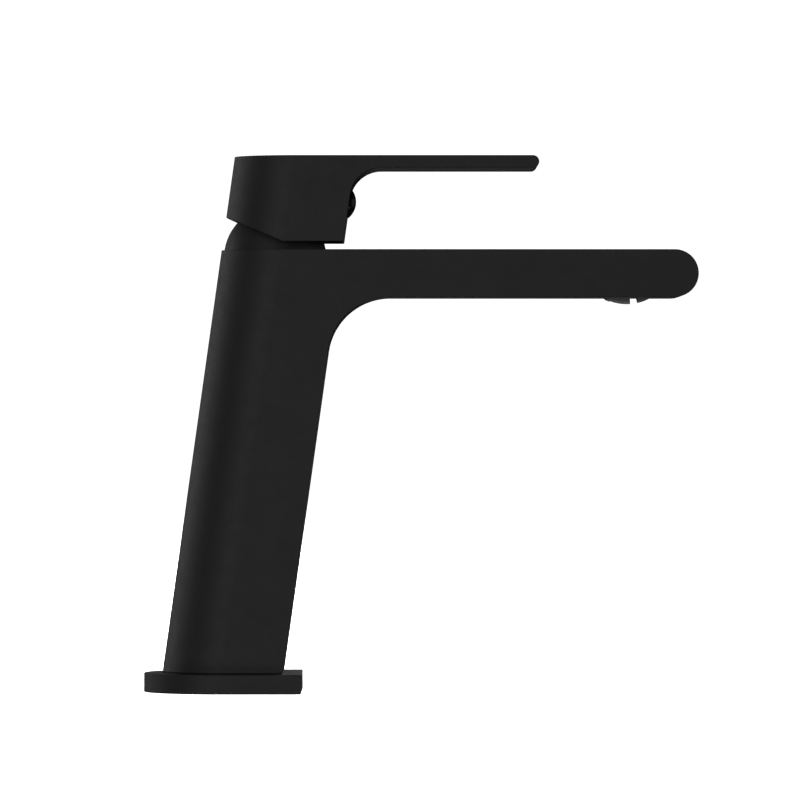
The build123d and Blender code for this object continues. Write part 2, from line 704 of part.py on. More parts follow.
def handle_set_screw():
    """Grub screw that locks the handle on the stem."""
    screw = forward_rod(SET_SCREW_R, STEM_HALF_X, SET_SCREW_END, SET_SCREW_LEVEL)
    socket = extrude(RegularPolygon(SET_SCREW_HEX / 2, 6, major_radius=False), SET_SCREW_HEX_DEPTH + PAST)
    screw -= Pos(SET_SCREW_END - SET_SCREW_HEX_DEPTH, 0, SET_SCREW_LEVEL) * Rot(0, 90, 0) * socket
    return LEANING * one_solid(screw)


def indicator_plug():
    """Domed plug that covers the set screw."""
    rim_end = PRISM_FRONT + PLUG_RIM
    crown = PRISM_FRONT + PLUG_RISE
    cap_height = crown - rim_end
    cap_radius = (PLUG_R**2 + cap_height**2) / (2 * cap_height)
    half_angle = math.asin(PLUG_R / cap_radius) / 2
    half_way = (cap_radius * math.sin(half_angle), crown - cap_radius * (1 - math.cos(half_angle)))
    outline = Polyline(
        (0, crown), (0, PLUG_SHANK_END), (PLUG_SHANK_R, PLUG_SHANK_END),
        (PLUG_SHANK_R, PRISM_FRONT), (PLUG_R, PRISM_FRONT), (PLUG_R, rim_end),
    )
    cap = ThreePointArc((PLUG_R, rim_end), half_way, (0, crown))
    turned = revolve(Plane.XZ * make_face(outline + cap), Axis.Z)
    return LEANING * one_solid(Pos(0, 0, SET_SCREW_LEVEL) * Rot(0, 90, 0) * turned)


# ---- Aerator ----

def ball(radius):
    """A ball about the nozzle's tilting centre."""
    return Pos(AERATOR_X, 0, BALL_Z) * Sphere(radius)


def aerator_housing():
    """Threaded sleeve, flush in the spout, with the nozzle's ball seat."""
    sleeve = rod(AERATOR_R, SPOUT_UNDERSIDE, AERATOR_TOP, AERATOR_X)
    seat = rod(AERATOR_INNER_R, 0, FAR, AERATOR_X) & ball(BALL_SEAT_R)
    seat_edge = BALL_Z - math.sqrt(BALL_SEAT_R**2 - AERATOR_INNER_R**2)
    sleeve -= seat
    sleeve -= rod(AERATOR_INNER_R, seat_edge, FAR, AERATOR_X)
    sleeve -= rod(AERATOR_MOUTH_R, 0, BALL_Z, AERATOR_X)
    return one_solid(sleeve)


def aerator_gasket():
    """Flat gasket between the sleeve and the spout's lip."""
    return one_solid(ring(AERATOR_R, AERATOR_CHAMBER_R, AERATOR_TOP, AERATOR_SEAT_TOP, AERATOR_X))


def swivel_nozzle():
    """Ball nozzle with a coin slot and rings of jets, tilted forward."""
    nozzle = Sphere(BALL_R)
    nozzle += Sphere(BALL_RING_R) - rod(NOZZLE_RING_INNER_R, -FAR, FAR)
    nozzle -= Sphere(BALL_INNER_R)
    nozzle &= rod(NOZZLE_EDGE_R, -2 * BALL_R, 0)
    rib = block((-COIN_RIB_HALF_WIDTH, COIN_RIB_HALF_WIDTH), (-FAR, FAR), (-BALL_R, -COIN_RIB_LEVEL))
    nozzle += rib & rod(COIN_RIB_R, -BALL_R, 0) & Sphere((BALL_R + BALL_INNER_R) / 2)
    half_slot = COIN_SLOT_W / 2
    nozzle -= block((-half_slot, half_slot), (-FAR, FAR), (-2 * BALL_R, COIN_SLOT_DEPTH - BALL_R))
    for radius, count in NOZZLE_JET_RINGS:
        for index in range(count):
            angle = math.radians((index + 0.5) * 360 / count)
            x = radius * math.cos(angle)
            if abs(x) > COIN_RIB_HALF_WIDTH + NOZZLE_JET_R:
                nozzle -= rod(NOZZLE_JET_R, -2 * BALL_R, 0, x, radius * math.sin(angle))
    tilted = Pos(AERATOR_X, 0, BALL_Z) * Rot(0, -NOZZLE_TILT_DEG, 0) * nozzle
    return one_solid(tilted)


def nozzle_o_ring():
    """Seal and friction ring inside the ball nozzle."""
    return o_ring(NOZZLE_SEAL_R, NOZZLE_SEAL_SECTION_R, NOZZLE_SEAL_Z, AERATOR_X)


def nozzle_retaining_ring():
    """Ring that holds the nozzle and its seal down in the sleeve."""
    collar = ring(RING_TUBE_R, RING_TUBE_BORE_R, RING_TUBE_BOTTOM, AERATOR_TOP, AERATOR_X)
    collar += ring(RING_FLANGE_R, RING_TUBE_BORE_R, RING_FLANGE_BOTTOM, AERATOR_TOP, AERATOR_X)
    return one_solid(collar)


def aerator_screens():
    """Two fine screens that break up the jet."""
    screen = rod(SCREEN_R, 0, SCREEN_T)
    steps = range(-3, 4)
    for row in steps:
        for column in steps:
            x = (column + (row % 2) / 2) * SCREEN_HOLE_PITCH
            y = row * SCREEN_HOLE_PITCH * math.sqrt(3) / 2
            if math.hypot(x, y) < SCREEN_R - SCREEN_RIM:
                screen -= rod(SCREEN_HOLE_R, -PAST, PAST, x, y)
    placed = [Pos(AERATOR_X, 0, level) * one_solid(screen) for level in SCREEN_LEVELS]
    return Compound(children=placed)


def flow_regulator():
    """Flow limiter seated in the retaining ring, with a ring of holes."""
    regulator = rod(SCREEN_R, REGULATOR_BOTTOM, REGULATOR_SHOULDER, AERATOR_X)
    regulator += rod(REGULATOR_FLANGE_R, AERATOR_TOP, AERATOR_SEAT_TOP, AERATOR_X)
    regulator += rod(REGULATOR_BOSS_R, AERATOR_SEAT_TOP, REGULATOR_TOP, AERATOR_X)
    hole = rod(REGULATOR_HOLE_R, 0, FAR, REGULATOR_HOLE_RADIUS_OUT)
    for index in range(REGULATOR_HOLES):
        regulator -= Pos(AERATOR_X, 0, 0) * Rot(0, 0, index * 360 / REGULATOR_HOLES) * hole
    return one_solid(regulator)


def main():
    """Build every sub-part and write it out."""
    os.makedirs("parts", exist_ok=True)
    for build in (
        body_casting, base_flange, deck_gasket, flange_o_ring, base_insert, base_insert_screws,
        inlet_tube_o_rings, cartridge_housing, housing_o_ring, cartridge_base, cartridge_base_seals,
        disc_seals, fixed_disc, moving_disc, disc_carrier, stem_rotor, stem_pin, lever_stem,
        cartridge_nut, dome_cover, dome_o_ring, handle, handle_set_screw, indicator_plug,
        aerator_housing, aerator_gasket, swivel_nozzle, nozzle_o_ring, nozzle_retaining_ring,
        aerator_screens, flow_regulator,
    ):
        write(build.__name__, build())
    write("hot_inlet_tube", inlet_tube(HOT_SIDE))
    write("cold_inlet_tube", inlet_tube(-HOT_SIDE))


main()
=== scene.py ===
"""Looks of a matt black single-lever basin mixer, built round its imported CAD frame.

Lengths are in metres. Z is up, X runs from the body towards the spout's tip, and the deck is at Z = 0.
"""

from __future__ import annotations

import json
import logging
import math
from collections.abc import Callable, Iterable
from dataclasses import dataclass, field
from enum import Enum

import bmesh
import bpy
from mathutils import Matrix, Vector

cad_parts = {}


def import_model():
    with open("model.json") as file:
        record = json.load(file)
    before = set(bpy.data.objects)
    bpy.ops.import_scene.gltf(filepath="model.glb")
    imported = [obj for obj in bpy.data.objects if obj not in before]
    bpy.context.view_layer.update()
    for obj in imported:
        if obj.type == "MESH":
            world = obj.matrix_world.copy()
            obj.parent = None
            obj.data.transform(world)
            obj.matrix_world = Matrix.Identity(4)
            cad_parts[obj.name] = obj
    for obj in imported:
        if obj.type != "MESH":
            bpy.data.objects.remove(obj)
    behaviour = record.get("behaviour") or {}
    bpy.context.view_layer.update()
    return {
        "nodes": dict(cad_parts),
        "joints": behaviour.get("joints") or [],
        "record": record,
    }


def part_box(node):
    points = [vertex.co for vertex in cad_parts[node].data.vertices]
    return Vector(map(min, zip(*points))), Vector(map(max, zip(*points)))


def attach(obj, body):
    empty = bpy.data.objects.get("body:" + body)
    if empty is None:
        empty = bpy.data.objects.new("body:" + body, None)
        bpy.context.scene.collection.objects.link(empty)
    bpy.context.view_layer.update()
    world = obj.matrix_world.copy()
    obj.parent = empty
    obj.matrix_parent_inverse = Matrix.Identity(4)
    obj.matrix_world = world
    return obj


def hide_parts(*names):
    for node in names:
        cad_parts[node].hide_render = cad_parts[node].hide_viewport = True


MM = 0.001
TINY = 0.005 * MM
HAIR = 0.012 * MM
EDGE_RADIUS = 0.2 * MM
EDGE_STEPS = 3
FAR = 200 * MM
SHARP_DEG = 28.0
FLAT_ANGLE = math.radians(0.05)
ROUND_STEPS = 96
log = logging.getLogger("mixer")


class Body(Enum):
    """Bodies of the frame that pieces ride on."""

    FIXED = "mixer_body"
    ROTOR = "temperature_rotor"
    LEVER = "lever"
    DISC = "mixing_disc"
    NOZZLE = "spray_nozzle"


class Grain(Enum):
    """How a finish's surface is worked."""

    POWDER = "powder coat"
    POLISHED = "polished moulding"
    MOULDED = "moulded plastic"
    TURNED = "turned metal"
    BRUSHED = "brushed metal"
    LAPPED = "lapped ceramic"
    RUBBER = "moulded rubber"


# ---- Finishes ----


@dataclass(frozen=True)
class GrainPattern:
    """Sizes of one kind of surface grain."""

    grain_size: float
    grain_height: float
    stretch: tuple[float, float, float] = (1.0, 1.0, 1.0)
    peel_size: float = 0.0
    peel_height: float = 0.0


GRAIN_PATTERNS = {
    Grain.POWDER: GrainPattern(0.16 * MM, 0.006 * MM, peel_size=0.9 * MM, peel_height=0.004 * MM),
    Grain.POLISHED: GrainPattern(1.5 * MM, 0.0004 * MM),
    Grain.MOULDED: GrainPattern(0.12 * MM, 0.006 * MM, peel_size=1.6 * MM, peel_height=0.003 * MM),
    Grain.TURNED: GrainPattern(0.1 * MM, 0.006 * MM, stretch=(0.04, 0.04, 1.0)),
    Grain.BRUSHED: GrainPattern(0.08 * MM, 0.005 * MM, stretch=(1.0, 1.0, 0.03)),
    Grain.LAPPED: GrainPattern(0.05 * MM, 0.001 * MM),
    Grain.RUBBER: GrainPattern(0.2 * MM, 0.008 * MM, peel_size=1.2 * MM, peel_height=0.006 * MM),
}


@dataclass(frozen=True)
class Finish:
    """One material: its colour, how it varies, and the grain of its surface."""

    name: str
    slot: str
    grain: Grain
    colour: tuple[float, float, float]
    colour_spread: float
    roughness: float
    roughness_spread: float
    metallic: float = 0.0
    specular: float = 0.5
    coat: float = 0.0
    mottle_size: float = 14 * MM

    def material(self) -> bpy.types.Material:
        """Give the finish's Blender material, made on first use.

        Returns:
            The material, whose patterns read Object coordinates.
        """
        found = bpy.data.materials.get(self.name)
        if found:
            return found
        made = bpy.data.materials.new(self.name)
        made.use_nodes = True
        made.diffuse_color = (*self.colour, 1.0)
        tree = made.node_tree
        shader = tree.nodes["Principled BSDF"]
        shader.inputs["Metallic"].default_value = self.metallic
        shader.inputs["Specular IOR Level"].default_value = self.specular
        shader.inputs["Coat Weight"].default_value = self.coat
        shader.inputs["Coat Roughness"].default_value = 0.08
        place = tree.nodes.new("ShaderNodeTexCoord").outputs["Object"]
        self._dress_colour(tree, shader, place)
        self._dress_roughness(tree, shader, place)
        self._dress_relief(tree, shader, place)
        return made

    @staticmethod
    def _noise(
        tree: bpy.types.NodeTree,
        place: bpy.types.NodeSocket,
        size: float,
        detail: float,
        stretch: tuple[float, float, float] = (1.0, 1.0, 1.0),
    ) -> bpy.types.NodeSocket:
        """Add a noise pattern of a stated feature size.

        Args:
            tree: The material's nodes.
            place: The coordinates to read.
            size: Size of one feature, in metres.
            detail: Octaves of finer noise.
            stretch: Scale along each axis. Under 1 draws the grain out that way.

        Returns:
            The noise's value socket.
        """
        mapping = tree.nodes.new("ShaderNodeMapping")
        mapping.inputs["Scale"].default_value = stretch
        tree.links.new(place, mapping.inputs["Vector"])
        noise = tree.nodes.new("ShaderNodeTexNoise")
        noise.inputs["Scale"].default_value = 1.0 / size
        noise.inputs["Detail"].default_value = detail
        noise.inputs["Roughness"].default_value = 0.55
        tree.links.new(mapping.outputs["Vector"], noise.inputs["Vector"])
        return noise.outputs["Fac"]

    @staticmethod
    def _spread(
        tree: bpy.types.NodeTree, value: bpy.types.NodeSocket, low: float, high: float
    ) -> bpy.types.NodeSocket:
        """Map a noise value onto a range.

        Args:
            tree: The material's nodes.
            value: The noise's value.
            low: Result at a noise of 0.3.
            high: Result at a noise of 0.7.

        Returns:
            The mapped value's socket.
        """
        mapped = tree.nodes.new("ShaderNodeMapRange")
        mapped.inputs["From Min"].default_value = 0.3
        mapped.inputs["From Max"].default_value = 0.7
        mapped.inputs["To Min"].default_value = low
        mapped.inputs["To Max"].default_value = high
        tree.links.new(value, mapped.inputs["Value"])
        return mapped.outputs["Result"]

    def _dress_colour(
        self, tree: bpy.types.NodeTree, shader: bpy.types.Node, place: bpy.types.NodeSocket
    ) -> None:
        """Vary the colour in soft patches.

        Args:
            tree: The material's nodes.
            shader: The Principled shader.
            place: The coordinates to read.
        """
        patches = self._spread(tree, self._noise(tree, place, self.mottle_size, 4.0), 0.0, 1.0)
        mix = tree.nodes.new("ShaderNodeMix")
        mix.data_type = "RGBA"
        low, high = 1.0 - self.colour_spread, 1.0 + self.colour_spread
        mix.inputs["A"].default_value = (*(low * c for c in self.colour), 1.0)
        mix.inputs["B"].default_value = (*(min(1.0, high * c) for c in self.colour), 1.0)
        tree.links.new(patches, mix.inputs["Factor"])
        tree.links.new(mix.outputs["Result"], shader.inputs["Base Color"])

    def _dress_roughness(
        self, tree: bpy.types.NodeTree, shader: bpy.types.Node, place: bpy.types.NodeSocket
    ) -> None:
        """Vary the roughness in patches and along the grain.

        Args:
            tree: The material's nodes.
            shader: The Principled shader.
            place: The coordinates to read.
        """
        pattern = GRAIN_PATTERNS[self.grain]
        patches = self._noise(tree, place, self.mottle_size / 3, 3.0)
        fine = self._noise(tree, place, 4 * pattern.grain_size, 2.0, pattern.stretch)
        both = tree.nodes.new("ShaderNodeMath")
        both.operation = "MULTIPLY_ADD"
        both.inputs[1].default_value = 0.5
        tree.links.new(patches, both.inputs[0])
        half = tree.nodes.new("ShaderNodeMath")
        half.operation = "MULTIPLY"
        half.inputs[1].default_value = 0.5
        tree.links.new(fine, half.inputs[0])
        tree.links.new(half.outputs[0], both.inputs[2])
        low, high = self.roughness - self.roughness_spread, self.roughness + self.roughness_spread
        tree.links.new(self._spread(tree, both.outputs[0], low, high), shader.inputs["Roughness"])

    def _dress_relief(
        self, tree: bpy.types.NodeTree, shader: bpy.types.Node, place: bpy.types.NodeSocket
    ) -> None:
        """Raise the surface's grain with bump.

        Args:
            tree: The material's nodes.
            shader: The Principled shader.
            place: The coordinates to read.
        """
        pattern = GRAIN_PATTERNS[self.grain]
        layers = [(pattern.grain_size, pattern.grain_height, pattern.stretch)]
        if pattern.peel_size:
            layers.append((pattern.peel_size, pattern.peel_height, (1.0, 1.0, 1.0)))
        normal = None
        for size, height, stretch in layers:
            bump = tree.nodes.new("ShaderNodeBump")
            bump.inputs["Strength"].default_value = 1.0
            bump.inputs["Distance"].default_value = height
            tree.links.new(self._noise(tree, place, size, 2.0, stretch), bump.inputs["Height"])
            if normal:
                tree.links.new(normal, bump.inputs["Normal"])
            normal = bump.outputs["Normal"]
        tree.links.new(normal, shader.inputs["Normal"])


MATT_BLACK = Finish(
    "matt_black_powder_coat", "matt_black", Grain.POWDER, (0.0022, 0.0022, 0.0023), 0.07, 0.62, 0.04, specular=0.04
)
GLOSS_BLACK = Finish(
    "gloss_black_cap", "gloss_black_plastic", Grain.POLISHED, (0.001, 0.001, 0.0011), 0.08, 0.2, 0.04, specular=0.06
)
GREY_ACETAL = Finish(
    "grey_acetal", "grey_plastic", Grain.MOULDED, (0.022, 0.022, 0.0224), 0.06, 0.42, 0.05, specular=0.1
)
WHITE_ACETAL = Finish(
    "natural_acetal", "white_plastic", Grain.MOULDED, (0.78, 0.77, 0.73), 0.03, 0.4, 0.05
)
TURNED_BRASS = Finish(
    "turned_brass", "brass", Grain.TURNED, (0.73, 0.53, 0.25), 0.08, 0.3, 0.07, metallic=1.0
)
STAINLESS = Finish(
    "stainless_steel", "steel", Grain.BRUSHED, (0.56, 0.56, 0.57), 0.05, 0.28, 0.07, metallic=1.0
)
CERAMIC = Finish(
    "lapped_alumina", "ceramic", Grain.LAPPED, (0.86, 0.84, 0.79), 0.02, 0.22, 0.04
)
RUBBER = Finish(
    "nitrile_rubber", "rubber", Grain.RUBBER, (0.018, 0.018, 0.019), 0.1, 0.7, 0.07, specular=0.35
)


# ---- Shared tools of the maker ----


@dataclass
class LeanFrame:
    """The leaning axis that the body, the cartridge and the handle share."""

    pivot: Vector
    axis: Vector
    forward: Vector = field(init=False)
    cosine: float = field(init=False)
    tangent: float = field(init=False)

    def __post_init__(self) -> None:
        """Work out the forward direction and the lean."""
        self.axis = self.axis.normalized()
        self.forward = Vector((self.axis.z, 0.0, -self.axis.x))
        self.cosine = self.axis.z
        self.tangent = self.axis.x / self.axis.z

    def x_at(self, across: float, height: float) -> float:
        """Give the X of a point across from the axis, at a height above the deck."""
        return self.pivot.x + across / self.cosine + (height - self.pivot.z) * self.tangent

    def across(self, point: Vector) -> float:
        """Give how far a point is forward of the leaning axis."""
        return (point - self.pivot).dot(self.forward)

    def matrix(self) -> Matrix:
        """Give the transform that stands a piece drawn about Z on the leaning axis."""
        turn = Matrix((self.forward, Vector((0, 1, 0)), self.axis)).transposed()
        return Matrix.Translation(self.pivot) @ turn.to_4x4()


class OutlinePen:
    """Draws a closed outline on a plane, with straight and round stretches, and fills it."""

    def __init__(self, bm: bmesh.types.BMesh, origin: Vector, right: Vector, up: Vector) -> None:
        """Set the plane.

        Args:
            bm: The mesh to draw in.
            origin: The plane's zero point.
            right: Unit direction of the first coordinate.
            up: Unit direction of the second coordinate.
        """
        self.bm = bm
        self.origin, self.right, self.up = origin, right, up
        self.first: bmesh.types.BMVert | None = None
        self.tip: bmesh.types.BMVert | None = None

    def place(self, u: float, v: float) -> Vector:
        """Give the point of the plane at two coordinates."""
        return self.origin + u * self.right + v * self.up

    def line_to(self, u: float, v: float) -> OutlinePen:
        """Draw a straight stretch, or start the outline.

        Args:
            u: First coordinate of its end.
            v: Second coordinate of its end.

        Returns:
            The pen, for the next stretch.
        """
        if self.tip is None:
            self.first = self.tip = self.bm.verts.new(self.place(u, v))
            return self
        grown = bmesh.ops.extrude_vert_indiv(self.bm, verts=[self.tip])
        self.tip = grown["verts"][0]
        self.tip.co = self.place(u, v)
        return self

    def arc(self, u: float, v: float, degrees: float, steps: int) -> OutlinePen:
        """Draw a round stretch about a centre.

        Args:
            u: First coordinate of the centre.
            v: Second coordinate of the centre.
            degrees: Turn from the first direction towards the second.
            steps: Number of edges.

        Returns:
            The pen, for the next stretch.
        """
        swept = bmesh.ops.spin(
            self.bm,
            geom=[self.tip],
            cent=self.place(u, v),
            axis=self.right.cross(self.up),
            angle=math.radians(degrees),
            steps=steps,
            use_merge=False,
        )
        self.tip = next(g for g in swept["geom_last"] if isinstance(g, bmesh.types.BMVert))
        return self

    def fill(self) -> bmesh.types.BMFace:
        """Close the outline.

        Returns:
            The face inside it.
        """
        bmesh.ops.remove_doubles(self.bm, verts=self.bm.verts[:], dist=TINY)
        loose = [e for e in self.bm.edges if not e.link_faces]
        ends = [v for v in self.bm.verts if sum(e in loose for e in v.link_edges) == 1]
        if len(ends) == 2:
            loose.append(self.bm.edges.new(ends))
        return bmesh.ops.contextual_create(self.bm, geom=loose)["faces"][0]


def pull(bm: bmesh.types.BMesh, faces: list[bmesh.types.BMFace], by: Vector) -> list[bmesh.types.BMFace]:
    """Extrude faces in a direction.

    Args:
        bm: The mesh.
        faces: The faces to pull.
        by: How far and which way.

    Returns:
        The faces at the far end.
    """
    grown = bmesh.ops.extrude_face_region(bm, geom=faces)["geom"]
    moved = [g for g in grown if isinstance(g, bmesh.types.BMVert)]
    bmesh.ops.translate(bm, verts=moved, vec=by)
    return [g for g in grown if isinstance(g, bmesh.types.BMFace)]


def round_edges(
    bm: bmesh.types.BMesh, edges: Iterable[bmesh.types.BMEdge], radius: float, steps: int
) -> None:
    """Round some edges off.

    Args:
        bm: The mesh.
        edges: The edges to round.
        radius: Rounding radius.
        steps: Faces across the rounding.
    """
    bmesh.ops.bevel(
        bm,
        geom=list(edges),
        offset=radius,
        offset_type="OFFSET",
        segments=steps,
        profile=0.5,
        affect="EDGES",
        clamp_overlap=True,
        material=-1,
    )


def sharp_edges(bm: bmesh.types.BMesh) -> list[bmesh.types.BMEdge]:
    """Find the edges where two faces meet at a clear angle.

    Args:
        bm: The mesh.

    Returns:
        The edges.
    """
    limit = math.radians(SHARP_DEG)
    return [e for e in bm.edges if len(e.link_faces) == 2 and e.calc_face_angle(0.0) > limit]


def cylinder(radius: float, low: float, high: float, x: float = 0.0, y: float = 0.0) -> bmesh.types.BMesh:
    """Make a round bar along Z.

    Args:
        radius: The bar's radius.
        low: Z of its lower end.
        high: Z of its upper end.
        x: X of its axis.
        y: Y of its axis.

    Returns:
        The bar's mesh.
    """
    bm = bmesh.new()
    bmesh.ops.create_cone(
        bm,
        cap_ends=True,
        cap_tris=False,
        segments=ROUND_STEPS,
        radius1=radius,
        radius2=radius,
        depth=high - low,
        matrix=Matrix.Translation((x, y, (low + high) / 2)),
    )
    return bm


def flared_bore(radius: float, mouth: float, end: float, x: float = 0.0, y: float = 0.0) -> bmesh.types.BMesh:
    """Make a cutter for a bore along Z whose mouth has a small chamfer.

    Args:
        radius: The bore's radius.
        mouth: Z of the surface that it opens in.
        end: Z of its blind end.
        x: X of its axis.
        y: Y of its axis.

    Returns:
        The cutter's mesh.
    """
    bm = bmesh.new()
    out = math.copysign(1.0, mouth - end)
    pen = OutlinePen(bm, Vector((x, y, 0)), Vector((1, 0, 0)), Vector((0, 0, 1)))
    pen.line_to(0, end).line_to(radius, end).line_to(radius, mouth - out * EDGE_RADIUS)
    flare = radius + 2 * EDGE_RADIUS
    pen.line_to(flare, mouth + out * EDGE_RADIUS).line_to(0, mouth + out * EDGE_RADIUS)
    spin_round(bm, Vector((x, y, 0)), Vector((0, 0, 1)))
    return bm


def box_between(low: Vector, high: Vector) -> bmesh.types.BMesh:
    """Make a box from its two corners.

    Args:
        low: Lowest corner.
        high: Highest corner.

    Returns:
        The box's mesh.
    """
    bm = bmesh.new()
    size = high - low
    matrix = Matrix.Translation((low + high) / 2) @ Matrix.Diagonal((*size, 1.0))
    bmesh.ops.create_cube(bm, size=1.0, matrix=matrix)
    return bm


def spin_round(bm: bmesh.types.BMesh, centre: Vector, axis: Vector, steps: int = ROUND_STEPS) -> None:
    """Turn an open outline about an axis into a closed shape.

    Args:
        bm: The mesh, holding only the outline.
        centre: A point on the axis.
        axis: The axis.
        steps: Number of steps round.
    """
    bmesh.ops.spin(
        bm,
        geom=bm.verts[:] + bm.edges[:],
        cent=centre,
        axis=axis,
        angle=math.tau,
        steps=steps,
        use_merge=True,
    )
    bmesh.ops.remove_doubles(bm, verts=bm.verts[:], dist=TINY)
    bmesh.ops.dissolve_degenerate(bm, edges=bm.edges[:], dist=TINY)
    bmesh.ops.recalc_face_normals(bm, faces=bm.faces[:])


def as_object(bm: bmesh.types.BMesh, name: str) -> bpy.types.Object:
    """Turn a finished bmesh into an object at the origin.

    Args:
        bm: The mesh, which is freed.
        name: The object's name.

    Returns:
        The object.
    """
    bmesh.ops.recalc_face_normals(bm, faces=bm.faces[:])
    mesh = bpy.data.meshes.new(name)
    bm.to_mesh(mesh)
    bm.free()
    made = bpy.data.objects.new(name, mesh)
    bpy.context.scene.collection.objects.link(made)
    return made


class Cut(Enum):
    """How a tool shape changes a piece."""

    REMOVE = "DIFFERENCE"
    ADD = "UNION"
    KEEP = "INTERSECT"


def carve(piece: bpy.types.Object, tool: bmesh.types.BMesh, cut: Cut = Cut.REMOVE) -> None:
    """Cut a piece with a tool shape, or join the shape to it.

    Args:
        piece: The piece, whose mesh is changed.
        tool: The tool's mesh, which is freed.
        cut: What the tool does.
    """
    cutter = as_object(tool, "cutter")
    change = piece.modifiers.new("cut", "BOOLEAN")
    change.operation = cut.value
    change.solver = "EXACT"
    change.object = cutter
    bpy.context.view_layer.update()
    evaluated = piece.evaluated_get(bpy.context.evaluated_depsgraph_get())
    changed = bpy.data.meshes.new_from_object(evaluated)
    piece.modifiers.clear()
    old = piece.data
    piece.data = changed
    changed.name = piece.name
    bpy.data.meshes.remove(old)
    bpy.data.objects.remove(cutter)


def close_up(bm: bmesh.types.BMesh, distance: float) -> None:
    """Merge the very short edges that cutting leaves.

    Args:
        bm: The mesh.
        distance: Longest edge that counts as very short.
    """
    bmesh.ops.remove_doubles(bm, verts=bm.verts[:], dist=distance)
    bmesh.ops.dissolve_degenerate(bm, edges=bm.edges[:], dist=distance)
    loose = [edge for edge in bm.edges if not edge.link_faces]
    bmesh.ops.delete(bm, geom=loose, context="EDGES")


def soften(piece: bpy.types.Object, radius: float = EDGE_RADIUS, steps: int = EDGE_STEPS) -> None:
    """Clean a cut piece's mesh and round its sharp edges.

    Args:
        piece: The piece, whose mesh is changed.
        radius: Rounding radius.
        steps: Faces across each rounding.
    """
    bm = bmesh.new()
    bm.from_mesh(piece.data)
    close_up(bm, TINY)
    bmesh.ops.dissolve_limit(bm, angle_limit=FLAT_ANGLE, verts=bm.verts[:], edges=bm.edges[:])
    round_edges(bm, sharp_edges(bm), radius, steps)
    bm.to_mesh(piece.data)
    bm.free()


def dress(
    piece: bpy.types.Object, finish: Finish, body: Body, nodes: tuple[str, ...]
) -> bpy.types.Object:
    """Finish a piece: smooth shading, material, the body it rides on and the nodes it stands for.

    Args:
        piece: The piece.
        finish: Its finish.
        body: The body that it rides on.
        nodes: CAD nodes that it replaces.

    Returns:
        The piece.
    """
    mesh = piece.data
    bm = bmesh.new()
    bm.from_mesh(mesh)
    close_up(bm, HAIR)
    bm.to_mesh(mesh)
    bm.free()
    mesh.materials.clear()
    mesh.materials.append(finish.material())
    mesh.shade_smooth()
    mesh.set_sharp_from_angle(angle=math.radians(SHARP_DEG + 10))
    weighted = piece.modifiers.new("even shading", "WEIGHTED_NORMAL")
    weighted.keep_sharp = True
    weighted.weight = 100
    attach(piece, body.value)
    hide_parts(*nodes)
    log.info("%s: %d faces, %s, on %s", piece.name, len(mesh.polygons), finish.name, body.value)
    return piece


# ---- Sub-assemblies ----


@dataclass
class LeaningCasting:
    """What the body and the handle share: a leaning section with a round back and flat sides."""

    lean: LeanFrame
    half_width: float
    rear: float = -16.72 * MM
    front: float = 20.41 * MM
    back_radius: float = 19.2 * MM
    back_steps: int = 28

    def side_pen(self, bm: bmesh.types.BMesh) -> OutlinePen:
        """Give a pen that draws the near side's outline."""
        return OutlinePen(bm, Vector((0, -self.half_width, 0)), Vector((1, 0, 0)), Vector((0, 0, 1)))

    def fillet_under(self, pen: OutlinePen, underside: float, radius: float, steps: int) -> None:
        """Draw the hollow fillet from the leaning front out to a level underside.

        Args:
            pen: The pen, on the front face.
            underside: Height of the underside.
            radius: The fillet's radius.
            steps: Number of edges.
        """
        centre_z = underside - radius
        centre_x = self.lean.x_at(self.front, centre_z) + radius / self.lean.cosine
        start = Vector((centre_x, 0, centre_z)) - radius * self.lean.forward
        lean_degrees = math.degrees(math.acos(self.lean.cosine))
        pen.line_to(start.x, start.z).arc(centre_x, centre_z, lean_degrees - 90, steps)

    def section(self, low: float, high: float, inset: float = 0.0, front: float | None = None) -> bmesh.types.BMesh:
        """Carry the leaning section along the leaning axis.

        Args:
            low: Lower end, from the pivot.
            high: Upper end, from the pivot.
            inset: How far inside the outer section.
            front: Where the flat front is, if not at its usual place.

        Returns:
            The section's mesh.
        """
        rear, half = self.rear + inset, self.half_width - inset
        face = self.front - inset if front is None else front
        radius = self.back_radius - inset
        bm = bmesh.new()
        pen = OutlinePen(bm, Vector((0, 0, low)), Vector((1, 0, 0)), Vector((0, 1, 0)))
        pen.line_to(face, -half).line_to(face, half)
        pen.line_to(rear + radius, half).arc(rear + radius, half - radius, 90, self.back_steps)
        pen.line_to(rear, radius - half).arc(rear + radius, radius - half, 90, self.back_steps)
        pull(bm, [pen.fill()], Vector((0, 0, high - low)))
        bmesh.ops.recalc_face_normals(bm, faces=bm.faces[:])
        bmesh.ops.transform(bm, matrix=self.lean.matrix(), verts=bm.verts[:])
        return bm

    def widen(self, side: OutlinePen, name: str) -> bpy.types.Object:
        """Pull the side's outline across, round the back and soften the edges.

        Args:
            side: The pen that drew the near side.
            name: The piece's name.

        Returns:
            The piece.
        """
        pull(side.bm, [side.fill()], Vector((0, 2 * self.half_width, 0)))
        piece = as_object(side.bm, name)
        carve(piece, self.section(-FAR, FAR, -TINY, FAR), Cut.KEEP)
        soften(piece)
        return piece


